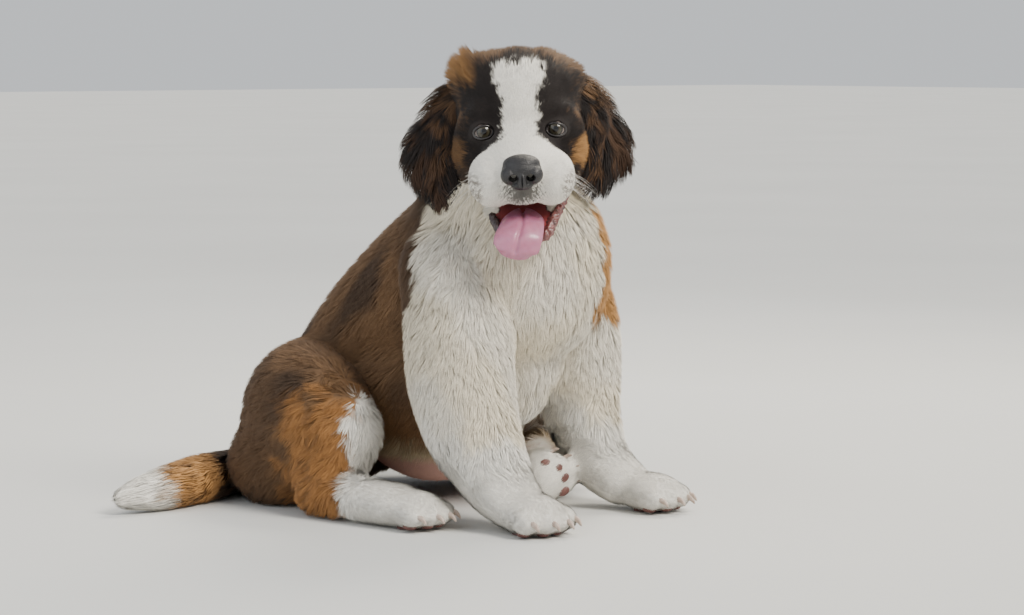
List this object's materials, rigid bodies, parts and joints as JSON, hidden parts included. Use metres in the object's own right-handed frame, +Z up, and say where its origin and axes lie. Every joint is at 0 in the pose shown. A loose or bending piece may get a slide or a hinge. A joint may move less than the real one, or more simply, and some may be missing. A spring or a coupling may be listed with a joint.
{
  "type": "sitting puppy",
  "caption": "Long-coated giant-breed puppy sitting upright, head turned to its right, mouth open with the tongue hanging out.",
  "frame": {"origin": "middle of the lowest face of the box round the whole puppy, on the floor it sits on", "axes": "+Z up, -Y the way the body faces, +X the puppy's left"},
  "size_m": [0.5596, 0.5444, 0.4961],
  "materials": {
    "white_coat": "soft long fur",
    "brown_coat": "soft long fur",
    "black_coat": "soft long fur",
    "tongue": "moist",
    "nose_leather": "pebbled, slightly moist",
    "eye": "wet gloss"
  },
  "bodies": {
    "root": {"torso": "brown_coat", "chest": "white_coat", "neck": "white_coat", "head": "white_coat", "jaw": "white_coat", "tongue": "tongue", "nose": "nose_leather", "eye_right": "eye", "eye_left": "eye", "ear_right": "black_coat", "ear_left": "black_coat", "foreleg_right": "white_coat", "foreleg_left": "white_coat", "forepaw_right": "white_coat", "forepaw_left": "white_coat", "thigh_right": "brown_coat", "thigh_left": "brown_coat", "hindfoot_right": "white_coat", "hindfoot_left": "white_coat", "tail": "brown_coat", "tail_tip": "white_coat"}
  },
  "joints": []
}
